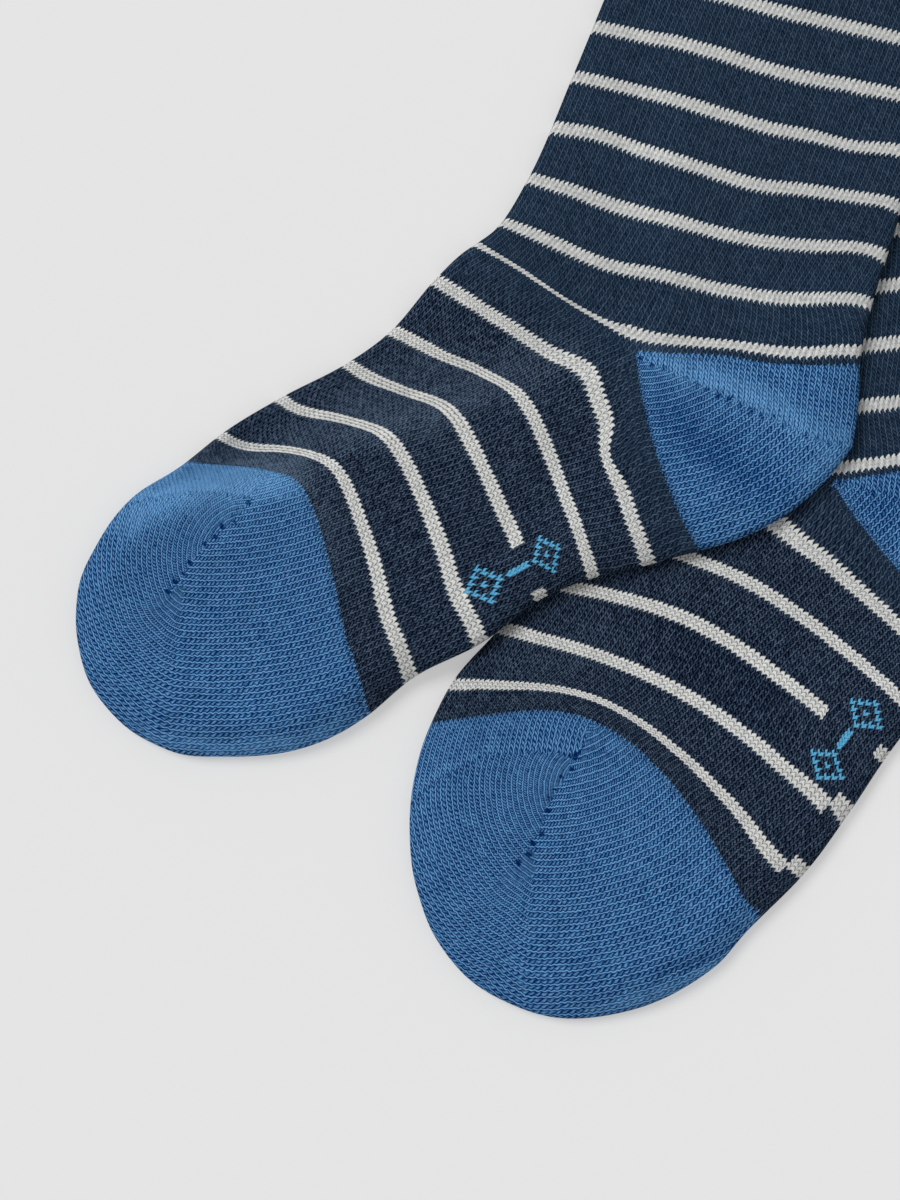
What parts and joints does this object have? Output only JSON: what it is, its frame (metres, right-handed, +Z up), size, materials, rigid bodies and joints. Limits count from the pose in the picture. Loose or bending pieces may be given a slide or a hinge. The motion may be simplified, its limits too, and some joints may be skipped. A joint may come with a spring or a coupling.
{
  "type": "pair of socks",
  "caption": "Pair of knitted children's crew socks laid flat, one across the other, with contrast heel and toe pockets and thin stripes.",
  "frame": {"origin": "middle of the footprint of the two laid socks, on the surface they lie on", "axes": "+Z up from the surface, +Y towards the cuffs, +X to the right with the toes pointing left and towards -Y"},
  "size_m": [0.1968, 0.268, 0.0103],
  "materials": {
    "navy_knit": "matt plain knit, dark navy with thin light grey stripes",
    "blue_knit": "matt plain knit, mid blue, heel and toe pockets",
    "navy_rib": "matt 2 x 2 rib knit, dark navy"
  },
  "bodies": {
    "root": {"lower_sock_cuff": "navy_rib", "lower_sock_body": "navy_knit", "lower_sock_heel": "blue_knit", "lower_sock_toe": "blue_knit", "upper_sock_cuff": "navy_rib", "upper_sock_body": "navy_knit", "upper_sock_heel": "blue_knit", "upper_sock_toe": "blue_knit"}
  },
  "joints": []
}
